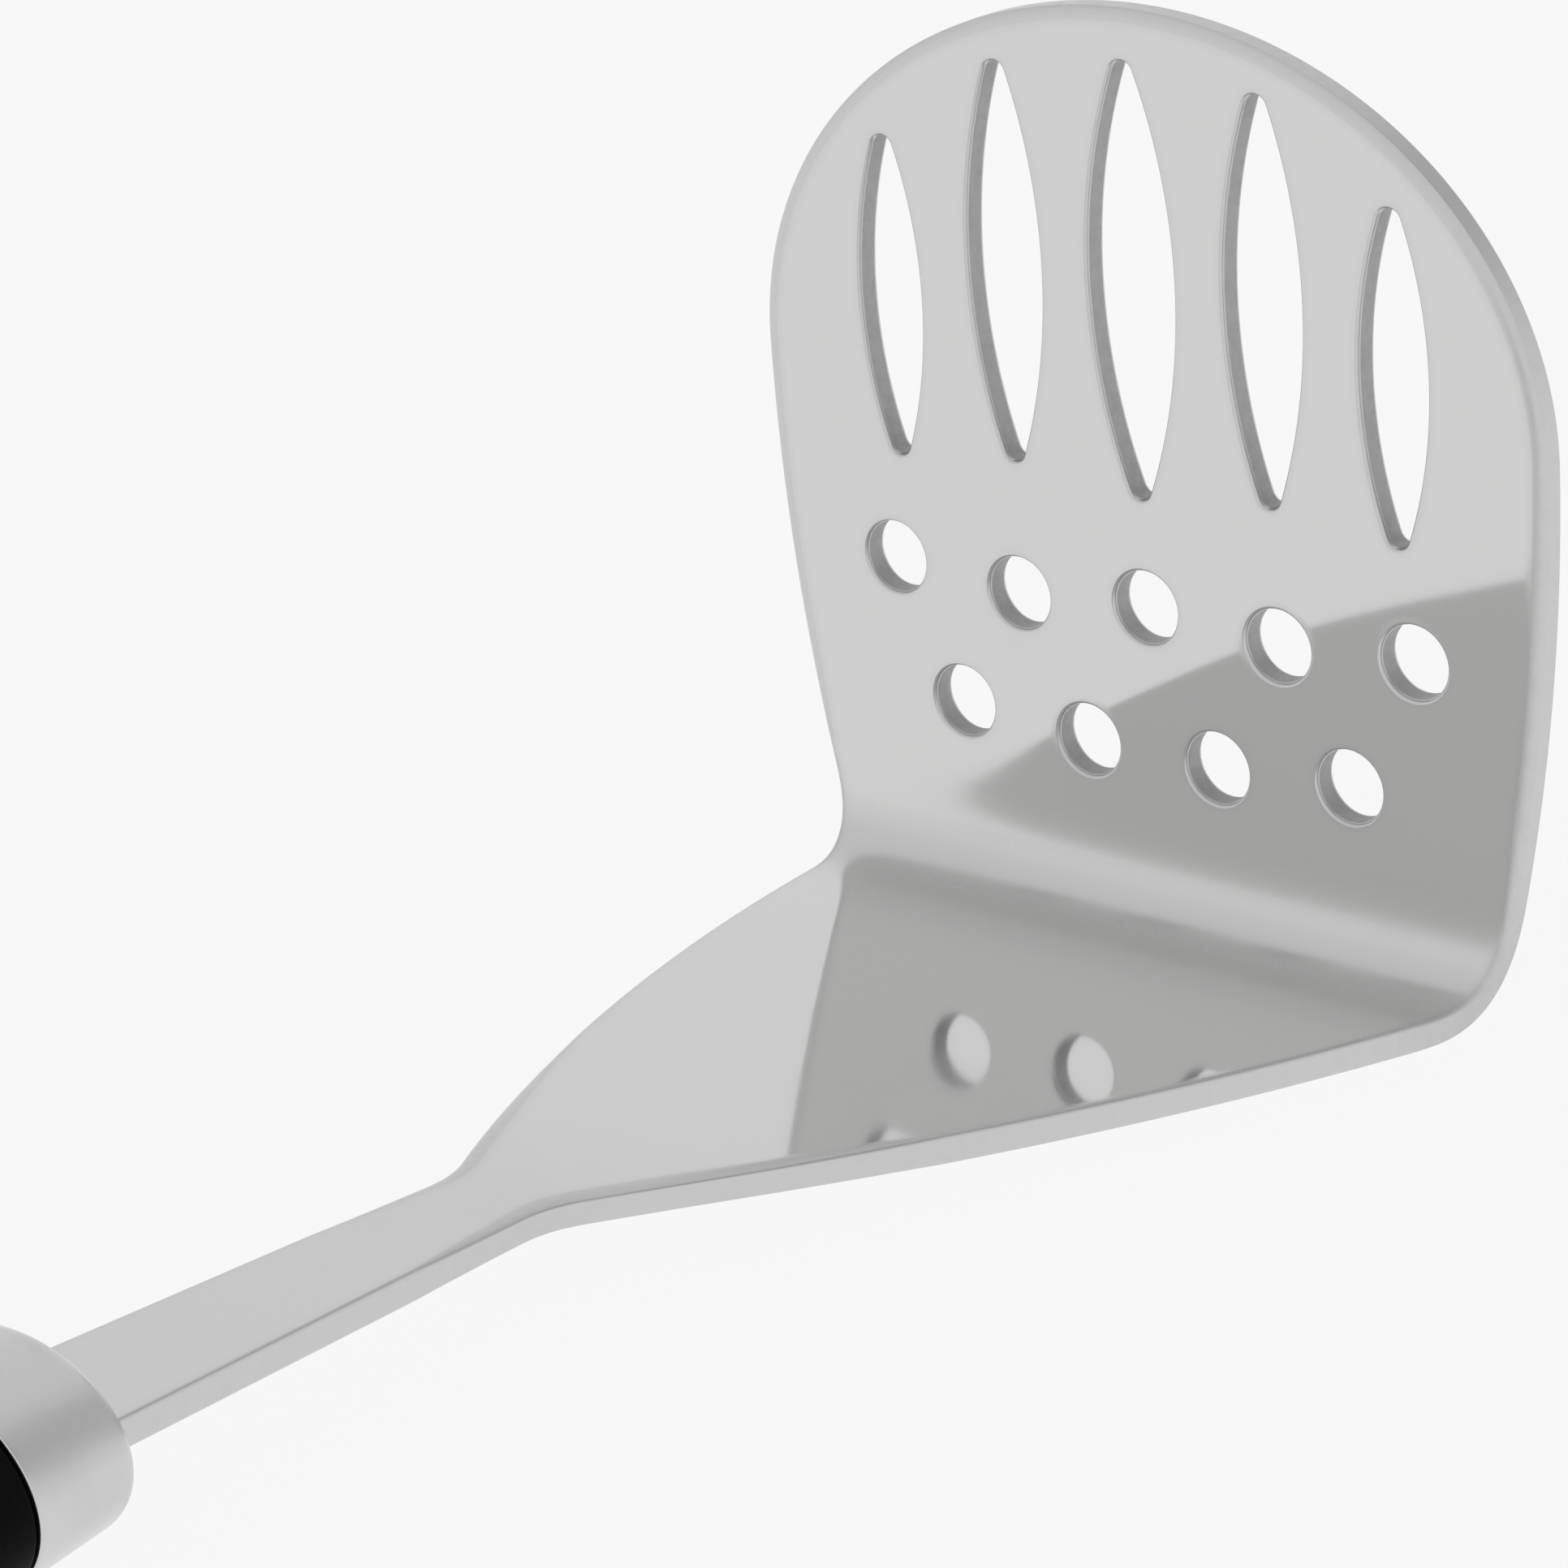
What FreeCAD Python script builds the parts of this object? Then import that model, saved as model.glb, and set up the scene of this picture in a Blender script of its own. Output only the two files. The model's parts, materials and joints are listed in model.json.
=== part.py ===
import FreeCAD, Part
import math
import os
import Sketcher

# Hand potato masher: one stamped, bent steel blade whose tang runs into a black oval handle,
# with a drawn steel ferrule where the strap enters the grip.
#
# Frame: the masher lies on its back, as it does on a worktop. +Z is up, +X runs from the handle to
# the perforated head, which stands upright, and Y is across. The origin is the middle of the
# footprint, on the surface that the masher rests on.
# The blade is drawn with its neck flat on XY and the corner of its bend at the origin. The grip's
# pieces are drawn along -X from the point where the strap is cranked. Placements then lay both down.

V = FreeCAD.Vector
FULL_TURN = 360.0

SIZES = {
    # sheet and bend
    "sheet": 2.8,                  # thickness of the stamping
    "bend_radius": 7.0,            # inside radius between neck and head
    "head_angle": 83.6,            # between the neck and the head plate, degrees
    # head plate, heights measured up the plate from the corner of the bend
    "head_half_width": 44.4,
    "head_wide_height": 51.75,     # height of the widest line
    "head_crown": 37.4,            # from the widest line to the top
    "head_foot_half_width": 39.7,  # half the width where the bend starts
    # round holes, two rows
    "hole_radius": 3.6,
    "hole_pitch": 15.0,
    "upper_row_height": 31.75,
    "lower_row_height": 18.15,
    "row_stagger": 1.15,           # every other hole sits this much lower
    # leaf-shaped slots
    "slot_pitch": 14.65,
    "outer_slot_gap": 13.95,       # from the second slot to the outer one
    "slot_tip_radius": 1.2,
    "slot_width_middle": 9.75,
    "slot_width_inner": 8.6,
    "slot_width_outer": 7.35,
    "slot_length_middle": 41.85,
    "slot_length_inner": 38.8,
    "slot_length_outer": 31.6,
    "slot_middle_height": 63.35,   # height of the middles of the three long slots
    "slot_outer_height": 58.25,
    # neck and strap, distances measured along the neck from the corner of the bend
    "neck_root_half_width": 36.3,  # where the bend ends
    "neck_waist": 50.0,            # a point half way down the curved side
    "neck_waist_half_width": 24.6,
    "neck_end": 93.0,              # where the curved side would meet the strap
    "neck_fillet": 12.0,
    "strap_half_width": 5.5,
    "strap_end_half_width": 7.3,   # the strap widens a little towards the grip
    "crank_start": 88.0,
    "crank_angle": 2.6,
    "tang_length": 60.0,           # part of the strap held inside the handle
    # ferrule
    "ferrule_start": 146.1,
    "ferrule_length": 11.8,
    "ferrule_wall": 0.8,
    "ferrule_shoulder": 1.7,       # length of the rounded nose
    "ferrule_nose_half_width": 10.8,
    "ferrule_collar_half_width": 12.8,
    "ferrule_mouth_half_width": 14.3,
    "oval_aspect": 1.53,           # width over height of the ferrule and handle
    "handle_rise": 0.15,           # the handle's axis over the strap's middle plane
    "strap_clearance": 0.15,       # round the strap in the ferrule's slot and the core's slot
    # handle
    "grip_length": 92.0,
    "grip_half_width": 16.6,
    "grip_tail_half_width": 15.0,
    "sleeve_wall": 2.4,
    "grip_clearance": 0.1,         # between the core and what is round it
    "cap_length": 24.0,
    "cap_end_half_width": 13.6,
    "cap_end_radius": 8.0,
    "eye_radius": 4.0,
    "eye_setback": 13.0,           # from the end of the cap to the middle of the hanging eye
    "tenon_length": 6.0,
    "tenon_half_width": 7.0,
    "tenon_half_height": 4.0,
    "pin_radius": 1.5,
    "pin_length": 12.5,
    "pin_clearance": 0.05,
    "pin_first": 18.0,             # from the ferrule's start to the first pin
    "pin_spacing": 26.0,
}

MARGIN = 6.0                       # how far a cutting outline runs past what it cuts
BEND_STEPS = 8                     # sections that follow the blank's edge round the bend
LEAST_CUT = 1e-3                   # mm3; a cut that takes less than this has missed
ON_AXIS = 1e-9                     # mm; a hole this near an axis is tied to it
STEEPEST_LIE = 15.0                # degrees; the tool never lies back further than this
LEVELLING_STEPS = 18               # halvings of that angle when the tool is laid down
EYE_PLACE = ("{crank_start} - {ferrule_start} - {ferrule_length} - {grip_length}"
             " - {cap_length} + {eye_setback}")

doc = FreeCAD.newDocument("Masher")
sheet = doc.addObject("Spreadsheet::Sheet", "Sizes")
for row, (alias, value) in enumerate(SIZES.items(), start=1):
    sheet.set("A%d" % row, alias)
    sheet.set("B%d" % row, str(value))
    sheet.setAlias("B%d" % row, alias)
doc.recompute()


def size(alias):
    """A driving dimension, read back from the spreadsheet."""
    return float(getattr(sheet, alias))


def bind(thing, prop, formula):
    """Tie a property to the sheet: words in braces are aliases."""
    thing.setExpression(prop, formula.replace("{", "Sizes.").replace("}", ""))


# ---------------------------------------------------------------- sketches

def origin_plane(body, role):
    return [f for f in body.Origin.OriginFeatures if f.Role == role][0]


def new_sketch(body, name, role, shift=V(0, 0, 0), turn_axis=V(1, 0, 0), turn=0.0):
    """A sketch on one of the body's own origin planes, shifted and turned within it."""
    sk = body.newObject("Sketcher::SketchObject", name)
    sk.AttachmentSupport = [(origin_plane(body, role), "")]
    sk.MapMode = "FlatFace"
    sk.AttachmentOffset = FreeCAD.Placement(shift, FreeCAD.Rotation(turn_axis, turn))
    return sk


def closed_wire(sk, curves):
    """Add curves that follow one another and tie each end to the next start."""
    ids = [sk.addGeometry(c, False) for c in curves]
    for here, after in zip(ids, ids[1:] + ids[:1]):
        end = end_nearest(sk, here, after)
        sk.addConstraint(end)
    return ids


def end_nearest(sk, here, after):
    """The coincidence between whichever ends of two neighbouring curves touch."""
    best = None
    for p in (1, 2):
        for q in (1, 2):
            gap = (sk.getPoint(here, p) - sk.getPoint(after, q)).Length
            if best is None or gap < best[0]:
                best = (gap, p, q)
    return Sketcher.Constraint("Coincident", here, best[1], after, best[2])


def line(p, q):
    return Part.LineSegment(V(*p, 0), V(*q, 0))


def arc(p, mid, q):
    return Part.Arc(V(*p, 0), V(*mid, 0), V(*q, 0))


def polyline(points):
    return [line(p, q) for p, q in zip(points, points[1:])]


def mirrored(curves, axis):
    """The same curves on the other side of the sketch's x or y axis."""
    flip = (-1, 1) if axis == "y" else (1, -1)
    out = []
    for c in curves:
        ends = [(c.StartPoint.x * flip[0], c.StartPoint.y * flip[1]),
                (c.EndPoint.x * flip[0], c.EndPoint.y * flip[1])]
        if isinstance(c, Part.LineSegment):
            out.append(line(*ends))
        else:
            m = c.value((c.FirstParameter + c.LastParameter) / 2)
            out.append(arc(ends[0], (m.x * flip[0], m.y * flip[1]), ends[1]))
    return out


def tangent_arc(start, direction, end):
    """The arc that leaves start along direction and arrives at end."""
    sx, sy = start
    n = math.hypot(*direction)
    dx, dy = direction[0] / n, direction[1] / n
    cx, cy = end[0] - sx, end[1] - sy
    side = dx * cy - dy * cx
    radius = (cx * cx + cy * cy) / (2 * side)
    centre = (sx - dy * radius, sy + dx * radius)
    a0 = math.atan2(sy - centre[1], sx - centre[0])
    a1 = math.atan2(end[1] - centre[1], end[0] - centre[0])
    half = (a1 - a0 + math.pi) % (2 * math.pi) - math.pi
    am = a0 + half / 2
    r = abs(radius)
    return arc(start, (centre[0] + r * math.cos(am), centre[1] + r * math.sin(am)), end)


def rounded_corner(before, corner, after, radius):
    """The two tangent points and the middle of the arc that rounds a corner."""
    def unit(p, q):
        n = math.hypot(q[0] - p[0], q[1] - p[1])
        return (q[0] - p[0]) / n, (q[1] - p[1]) / n
    u = unit(corner, before)
    w = unit(corner, after)
    half = math.acos(u[0] * w[0] + u[1] * w[1]) / 2
    reach = radius / math.tan(half)
    b = unit((0, 0), (u[0] + w[0], u[1] + w[1]))
    depth = radius / math.sin(half) - radius
    p = (corner[0] + u[0] * reach, corner[1] + u[1] * reach)
    q = (corner[0] + w[0] * reach, corner[1] + w[1] * reach)
    m = (corner[0] + b[0] * depth, corner[1] + b[1] * depth)
    return p, m, q


# ---------------------------------------------------------------- blade

T = size("sheet")
HEAD = math.radians(size("head_angle"))
LEAN = size("head_angle") - 90.0
BEND_IN = size("bend_radius")
BEND_OUT = BEND_IN + T
BEND_REACH = BEND_IN / math.tan(HEAD / 2)      # from the corner to where each flat starts
CRANK = math.radians(size("crank_angle"))
TANG_END = size("ferrule_start") + size("tang_length")
HEAD_TOP = size("head_wide_height") + size("head_crown")
UP_HEAD = (-math.cos(HEAD), math.sin(HEAD))    # up the head plate, as (x, z)
BEHIND = (math.sin(HEAD), math.cos(HEAD))      # out of its back face, as (x, z)
BEND_CENTRE = (-BEND_REACH, BEND_IN)


def along(start, direction, distance):
    return start[0] + direction[0] * distance, start[1] + direction[1] * distance


def side_profile():
    """The bent sheet from the side: head, bend, neck, cranked strap and tang."""
    strap = (-math.cos(CRANK), -math.sin(CRANK))
    under = (math.sin(CRANK), -math.cos(CRANK))
    mid_turn = math.pi * 1.5 + (math.pi - HEAD) / 2
    outward = (math.cos(mid_turn), math.sin(mid_turn))
    crank_top = (-size("crank_start"), 0.0)
    crank_low = (crank_top[0] + T * math.tan(CRANK / 2), -T)
    tang_top = along(crank_top, strap, TANG_END - size("crank_start"))
    tang_low = along(tang_top, under, T)
    top_in = along((0, 0), UP_HEAD, HEAD_TOP + MARGIN)
    foot_in = along((0, 0), UP_HEAD, BEND_REACH)
    top_out = along(top_in, BEHIND, T)
    foot_out = along(foot_in, BEHIND, T)
    return [
        line(top_in, foot_in),
        arc(foot_in, along(BEND_CENTRE, outward, BEND_IN), (-BEND_REACH, 0)),
        line((-BEND_REACH, 0), crank_top),
        line(crank_top, tang_top),
        line(tang_top, tang_low),
        line(tang_low, crank_low),
        line(crank_low, (-BEND_REACH, -T)),
        arc((-BEND_REACH, -T), along(BEND_CENTRE, outward, BEND_OUT), foot_out),
        line(foot_out, top_out),
        line(top_out, top_in),
    ]


def head_offcut():
    """What the blanking tool takes off round the head plate, as (y, height up the plate)."""
    wide = size("head_half_width")
    foot = size("head_foot_half_width")
    high = size("head_wide_height")
    edge = wide + MARGIN
    roof = HEAD_TOP + MARGIN
    crown = Part.Ellipse(V(0, high, 0), wide, size("head_crown"))
    quarter = Part.ArcOfEllipse(crown, 0, math.pi)
    flank = tangent_arc((wide, high), (0, -1), (foot, BEND_REACH))
    other = mirrored([flank], "y")[0]
    frame = polyline([(foot, BEND_REACH), (edge, BEND_REACH), (edge, roof), (-edge, roof),
                      (-edge, BEND_REACH), (-foot, BEND_REACH)])
    return frame + [other, quarter, flank]


def neck_side():
    """One long edge of the neck, strap and tang, as (x, y) from the bend to the tang's end."""
    root = (-BEND_REACH, size("neck_root_half_width"))
    waist = (-size("neck_waist"), size("neck_waist_half_width"))
    meet = (-size("neck_end"), size("strap_half_width"))
    entry = (-size("ferrule_start"), size("strap_end_half_width"))
    tail = (-TANG_END - MARGIN, entry[1])
    side = arc(root, waist, meet)
    ahead = side.tangent(side.parameter(V(*meet, 0)))[0]
    inward = 1 if ahead.x > 0 else -1
    before = along(meet, (inward * ahead.x, inward * ahead.y), size("neck_fillet"))
    p, m, q = rounded_corner(before, meet, entry, size("neck_fillet"))
    return [arc(root, waist, p), arc(p, m, q), line(q, entry), line(entry, tail)]


def neck_offcut():
    """What the blanking tool takes off beside the neck, strap and tang."""
    edge = size("head_half_width") + MARGIN
    side = neck_side()
    root = (-BEND_REACH, size("neck_root_half_width"))
    tail = (-TANG_END - MARGIN, size("strap_end_half_width"))
    return side + polyline([tail, (tail[0], edge), (root[0], edge), root])


def trim_bend(body, side):
    """Take off one side of the bend, square to the sheet all the way round it."""
    root, foot = size("neck_root_half_width"), size("head_foot_half_width")
    edge = size("head_half_width") + MARGIN
    near, far = BEND_IN / 2, BEND_OUT + BEND_IN / 2
    sections = []
    for i in range(BEND_STEPS + 1):
        share = i / BEND_STEPS
        half_w = root + (foot - root) * share
        turn = 180.0 - share * (180.0 - size("head_angle"))
        sk = new_sketch(body, "bend_edge_%d" % i, "YZ_Plane",
                        V(0, BEND_CENTRE[1], BEND_CENTRE[0]), turn=turn)
        corners = [(side * half_w, near), (side * edge, near), (side * edge, far),
                   (side * half_w, far)]
        closed_wire(sk, polyline(corners + corners[:1]))
        sections.append(sk)
    before = body.Shape.Volume
    loft = body.newObject("PartDesign::SubtractiveLoft", "trim_bend")
    loft.Profile = sections[0]
    loft.Sections = sections[1:]
    loft.Ruled = True
    doc.recompute()
    if not body.Shape.Volume < before - LEAST_CUT:
        raise RuntimeError("trim_bend cuts nothing")


def leaf(centre_y, centre_height, width, length):
    """A leaf-shaped slot: two long arcs joined by small round tips."""
    tip = size("slot_tip_radius")
    half_w, half_l = width / 2, length / 2
    run = half_l - tip
    # the long arcs touch both tip circles from outside and reach half the width in the middle
    big = (run * run + half_w * half_w - tip * tip) / (2 * (half_w - tip))
    offset = big - half_w
    reach = math.hypot(offset, run)
    ty = tip * offset / reach
    tz = tip * run / reach
    def at(y, z):
        return centre_y + y, centre_height + z
    right = arc(at(ty, -run - tz), at(half_w, 0), at(ty, run + tz))
    top = arc(at(ty, run + tz), at(0, half_l), at(-ty, run + tz))
    left = arc(at(-ty, run + tz), at(-half_w, 0), at(-ty, -run - tz))
    low = arc(at(-ty, -run - tz), at(0, -half_l), at(ty, -run - tz))
    return [right, top, left, low]


def slots():
    """Centre, height, width and length of each slot, from one side to the other."""
    inner = size("slot_pitch")
    outer = inner + size("outer_slot_gap")
    out = [(0.0, "slot_middle_height", "slot_width_middle", "slot_length_middle")]
    for side in (-1, 1):
        out.append((side * inner, "slot_middle_height", "slot_width_inner", "slot_length_inner"))
        out.append((side * outer, "slot_outer_height", "slot_width_outer", "slot_length_outer"))
    return out


def holes():
    """Formulas for the across and up places of each round hole."""
    out = []
    for column in (-2, -1, 0, 1, 2):
        drop = column % 2
        out.append(("%d * {hole_pitch}" % column, "{upper_row_height} - %d * {row_stagger}" % drop))
    for column in (-1.5, -0.5, 0.5, 1.5):
        drop = 1 if abs(column) < 1 else 0
        out.append(("%g * {hole_pitch}" % column, "{lower_row_height} - %d * {row_stagger}" % drop))
    return out


def pin_places():
    """Where the two pins cross the tang, in the strap's own frame."""
    first = "-1 * {ferrule_start} + {crank_start} - {pin_first}"
    return [(first, "0"), (first + " - {pin_spacing}", "0")]


def evaluate(formula):
    """The number a formula gives now, to draw a shape near where its constraint will put it."""
    for alias in SIZES:
        formula = formula.replace("{%s}" % alias, "size:%s" % alias)
    total = 0.0
    for sign, term in split_terms(formula):
        product = 1.0
        for factor in term.split("*"):
            factor = factor.strip()
            named = factor.removeprefix("size:")
            product *= size(named) if named != factor else float(factor)
        total += sign * product
    return total


def split_terms(formula):
    """The added and subtracted terms of a formula written with spaces round + and -."""
    parts = formula.replace(" - ", " + ~").split(" + ")
    return [(-1, p[1:]) if p.startswith("~") else (1, p) for p in parts]


def round_holes(sk, places, radius_formula):
    """Circles whose centres and radius are bound to the sheet."""
    for across, up in places:
        x, y = evaluate(across), evaluate(up)
        g = sk.addGeometry(Part.Circle(V(x, y, 0), V(0, 0, 1), evaluate(radius_formula)), False)
        c = sk.addConstraint(Sketcher.Constraint("Radius", g, evaluate(radius_formula)))
        bind(sk, "Constraints[%d]" % c, radius_formula)
        if abs(x) < ON_AXIS:
            sk.addConstraint(Sketcher.Constraint("PointOnObject", g, 3, -2))
        else:
            c = sk.addConstraint(Sketcher.Constraint("DistanceX", -1, 1, g, 3, x))
            bind(sk, "Constraints[%d]" % c, across)
        if abs(y) < ON_AXIS:
            sk.addConstraint(Sketcher.Constraint("PointOnObject", g, 3, -1))
        else:
            c = sk.addConstraint(Sketcher.Constraint("DistanceY", -1, 1, g, 3, y))
            bind(sk, "Constraints[%d]" % c, up)


def cut(body, name, sk, depth):
    """A pocket of the same depth on both sides of its sketch; it has to remove material."""
    before = body.Shape.Volume
    pocket = body.newObject("PartDesign::Pocket", name)
    pocket.Profile = sk
    pocket.Midplane = True
    pocket.Length = 2 * depth
    sk.Visibility = False
    doc.recompute()
    if not body.Shape.Volume < before - LEAST_CUT:
        raise RuntimeError("%s cuts nothing" % name)


def new_body(name):
    body = doc.addObject("PartDesign::Body", name)
    body.Label = name
    return body


def make_blade():
    body = new_body("masher_blade")
    profile = new_sketch(body, "side_profile", "XZ_Plane")
    closed_wire(profile, side_profile())
    pad = body.newObject("PartDesign::Pad", "bent_sheet")
    pad.Profile = profile
    pad.Midplane = True
    bind(pad, "Length", "2 * {head_half_width}")
    doc.recompute()

    through = 3 * (BEND_OUT + BEND_REACH)
    head = new_sketch(body, "head_outline", "YZ_Plane", turn=LEAN)
    bind(head, "AttachmentOffset.Rotation.Angle", "{head_angle} - 90")
    closed_wire(head, head_offcut())
    cut(body, "trim_head", head, through)

    drop = (TANG_END - size("crank_start")) * math.sin(CRANK) + T
    neck = new_sketch(body, "neck_outline", "XY_Plane")
    closed_wire(neck, neck_offcut())
    closed_wire(neck, mirrored(neck_offcut(), "x"))
    cut(body, "trim_neck", neck, drop + MARGIN)

    for side in (-1, 1):
        trim_bend(body, side)

    slot_sketch = new_sketch(body, "slot_outlines", "YZ_Plane", turn=LEAN)
    bind(slot_sketch, "AttachmentOffset.Rotation.Angle", "{head_angle} - 90")
    for across, height, width, length in slots():
        closed_wire(slot_sketch, leaf(across, size(height), size(width), size(length)))
    cut(body, "slots", slot_sketch, 2 * T)

    hole_sketch = new_sketch(body, "hole_outlines", "YZ_Plane", turn=LEAN)
    bind(hole_sketch, "AttachmentOffset.Rotation.Angle", "{head_angle} - 90")
    round_holes(hole_sketch, holes(), "{hole_radius}")
    cut(body, "round_holes", hole_sketch, 2 * T)

    pins = new_sketch(body, "tang_holes", "XY_Plane", V(-size("crank_start"), 0, 0),
                      V(0, 1, 0), -size("crank_angle"))
    round_holes(pins, pin_places(), "{pin_radius} + {pin_clearance}")
    cut(body, "pin_holes", pins, 2 * T)
    return body


# ---------------------------------------------------------------- handle
# The handle's own frame has its origin on the strap's middle plane where the crank starts, with the
# strap running along -X. A station is a distance along it from that point. Its pieces are flattened
# ovals: a profile is turned about the X axis and then flattened in Z, because a loft through ovals
# ripples between them.

FERRULE_START = size("ferrule_start") - size("crank_start")
FERRULE_END = FERRULE_START + size("ferrule_length")
GRIP_END = FERRULE_END + size("grip_length")
CAP_END = GRIP_END + size("cap_length")
TANG_TIP = TANG_END - size("crank_start")


def oval(name, edge, inset=0.0):
    """A flattened turned solid. edge is its outline as curves of (distance, half width)."""
    first, last = edge[0].StartPoint, edge[-1].EndPoint
    rim = [line((first.x, 0), (first.x, first.y))] + edge + polyline(
        [(last.x, last.y), (last.x, 0), (first.x, 0)])
    face = Part.Face(Part.Wire([c.toShape() for c in rim]))
    solid = face.revolve(V(0, 0, 0), V(1, 0, 0), FULL_TURN)
    across = size("grip_half_width")
    flatten = FreeCAD.Matrix()
    flatten.A33 = (across / size("oval_aspect") - inset) / (across - inset)
    piece = doc.addObject("Part::Feature", name)
    piece.Shape = solid.transformGeometry(flatten)
    return piece


def ferrule_edge(inset):
    """A flat nose, a rounded shoulder and a slight flare, or the same at a distance inset inside."""
    nose, collar = size("ferrule_nose_half_width"), size("ferrule_collar_half_width") - inset
    start, shoulder = -FERRULE_START - inset, -FERRULE_START - size("ferrule_shoulder")
    mouth = (-FERRULE_END, size("ferrule_mouth_half_width") - inset)
    flare = (mouth[0] - shoulder, mouth[1] - collar)
    nose_curve = tangent_arc((shoulder, collar), (-flare[0], -flare[1]), (start, nose))
    return [reversed_arc(nose_curve), line((shoulder, collar), mouth)]


def reversed_arc(curve):
    middle = curve.value((curve.FirstParameter + curve.LastParameter) / 2)
    return Part.Arc(curve.EndPoint, middle, curve.StartPoint)


def grip_edge(inset):
    """The long curve of the grip from the ferrule to the cap, or the same inside it."""
    front = (-FERRULE_END, size("ferrule_mouth_half_width") - inset)
    belly = (-(FERRULE_END + GRIP_END) / 2, size("grip_half_width") - inset)
    tail = (-GRIP_END, size("grip_tail_half_width") - inset)
    return [arc(front, belly, tail)]


def cap_edge():
    """The cap carries the grip's line on with a little draft and closes in a round end."""
    tail, neck = size("grip_tail_half_width"), size("cap_end_half_width")
    bend = size("cap_end_radius")
    start, corner = (-GRIP_END, tail), (-CAP_END, neck)
    p, m, q = rounded_corner(start, corner, (-CAP_END, 0), bend)
    return [line(start, p), arc(p, m, q)]


def box(name, start, end, half_w, half_h, height="0"):
    """A block along the handle between two stations, for a slot, socket or tenon."""
    block = doc.addObject("Part::Box", name)
    block.Length = end - start
    bind(block, "Width", "2 * (%s)" % half_w)
    bind(block, "Height", "2 * (%s)" % half_h)
    bind(block, "Placement.Base.y", "0 - (%s)" % half_w)
    bind(block, "Placement.Base.z", "%s - (%s)" % (height, half_h))
    block.Placement.Base.x = -end
    return block


def post(name, across, radius, height, middle):
    """An upright round bar for a pin, a pin hole or the hanging eye."""
    bar = doc.addObject("Part::Cylinder", name)
    bind(bar, "Radius", radius)
    bind(bar, "Height", height)
    bind(bar, "Placement.Base.x", across)
    bind(bar, "Placement.Base.z", "%s - (%s) / 2" % (middle, height))
    return bar


def cut_away(label, base, tools):
    """base less each tool in turn, as one labelled piece; every tool has to remove material."""
    for i, tool in enumerate(tools):
        doc.recompute()
        before = base.Shape.Volume
        less = doc.addObject("Part::Cut", "%s_cut_%d" % (label, i + 1))
        less.Base, less.Tool = base, tool
        doc.recompute()
        if not less.Shape.Volume < before - LEAST_CUT:
            raise RuntimeError("%s takes nothing off %s" % (tool.Name, label))
        base = less
    base.Label = label
    return base


def strap_slot(label, start, end):
    """The slot that the strap or tang passes through, with its clearance all round."""
    return box(label + "_slot", start, end, "{strap_end_half_width} + {strap_clearance}",
               "{sheet} / 2 + {strap_clearance}", "0 - {handle_rise}")


def make_ferrule():
    skin = oval("ferrule_skin", ferrule_edge(0.0))
    wall = size("ferrule_wall")
    hollow = oval("ferrule_hollow", ferrule_edge(wall), wall)
    return cut_away("ferrule", skin, [hollow, strap_slot("ferrule", 0.0, FERRULE_END)])


def make_core():
    """The stiff core: a spigot inside the ferrule, a body inside the sleeve, a tenon for the cap."""
    gap = size("grip_clearance")
    spigot_inset = size("ferrule_wall") + gap
    body = oval("core_body", grip_edge(size("sleeve_wall")), size("sleeve_wall"))
    spigot = oval("core_spigot", ferrule_edge(spigot_inset), spigot_inset)
    tenon = box("core_tenon", GRIP_END, GRIP_END + size("tenon_length"),
                "{tenon_half_width}", "{tenon_half_height}")
    whole = doc.addObject("Part::MultiFuse", "core_whole")
    whole.Shapes = [body, spigot, tenon]
    tools = [strap_slot("core", 0.0, TANG_TIP + size("strap_clearance"))]
    for i, across in enumerate(pin_places()):
        tools.append(post("pin_hole_%d" % (i + 1), across[0], "{pin_radius} + {pin_clearance}",
                          "{pin_length} + 2 * {pin_clearance}", "0 - {handle_rise}"))
    return cut_away("grip_core", whole, tools)


def make_sleeve():
    """The soft black sleeve round the core."""
    skin = oval("sleeve_skin", grip_edge(0.0))
    inner = size("sleeve_wall") - size("grip_clearance")
    return cut_away("grip_sleeve", skin, [oval("sleeve_bore", grip_edge(inner), inner)])


def make_cap():
    """The end cap, with a socket for the core's tenon and an eye to hang the masher by."""
    skin = oval("cap_skin", cap_edge())
    socket = box("cap_socket", GRIP_END, GRIP_END + size("tenon_length") + size("strap_clearance"),
                 "{tenon_half_width} + {strap_clearance}", "{tenon_half_height} + {strap_clearance}")
    eye = post("cap_eye", EYE_PLACE, "{eye_radius}", "2 * {grip_half_width}", "0")
    return cut_away("end_cap", skin, [socket, eye])


def make_pins():
    """Two steel pins that cross the core and the tang."""
    pins = []
    for i, across in enumerate(pin_places()):
        pins.append(post("tang_pin_%d" % (i + 1), across[0], "{pin_radius}", "{pin_length}",
                         "0 - {handle_rise}"))
    group = doc.addObject("Part::Compound", "tang_pins")
    group.Label = "tang_pins"
    group.Links = pins
    doc.recompute()
    return group


# ---------------------------------------------------------------- assembly

def handle_frame():
    """Where the handle's own frame stands on the blade: on the strap, raised a little."""
    lift = size("handle_rise") - T / 2
    base = V(-size("crank_start") - math.sin(CRANK) * lift, 0, math.cos(CRANK) * lift)
    return FreeCAD.Placement(base, FreeCAD.Rotation(V(0, 1, 0), -size("crank_angle")))


def placed(shape, placement):
    copy = shape.copy()
    copy.Placement = placement.multiply(copy.Placement)
    return copy


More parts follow.
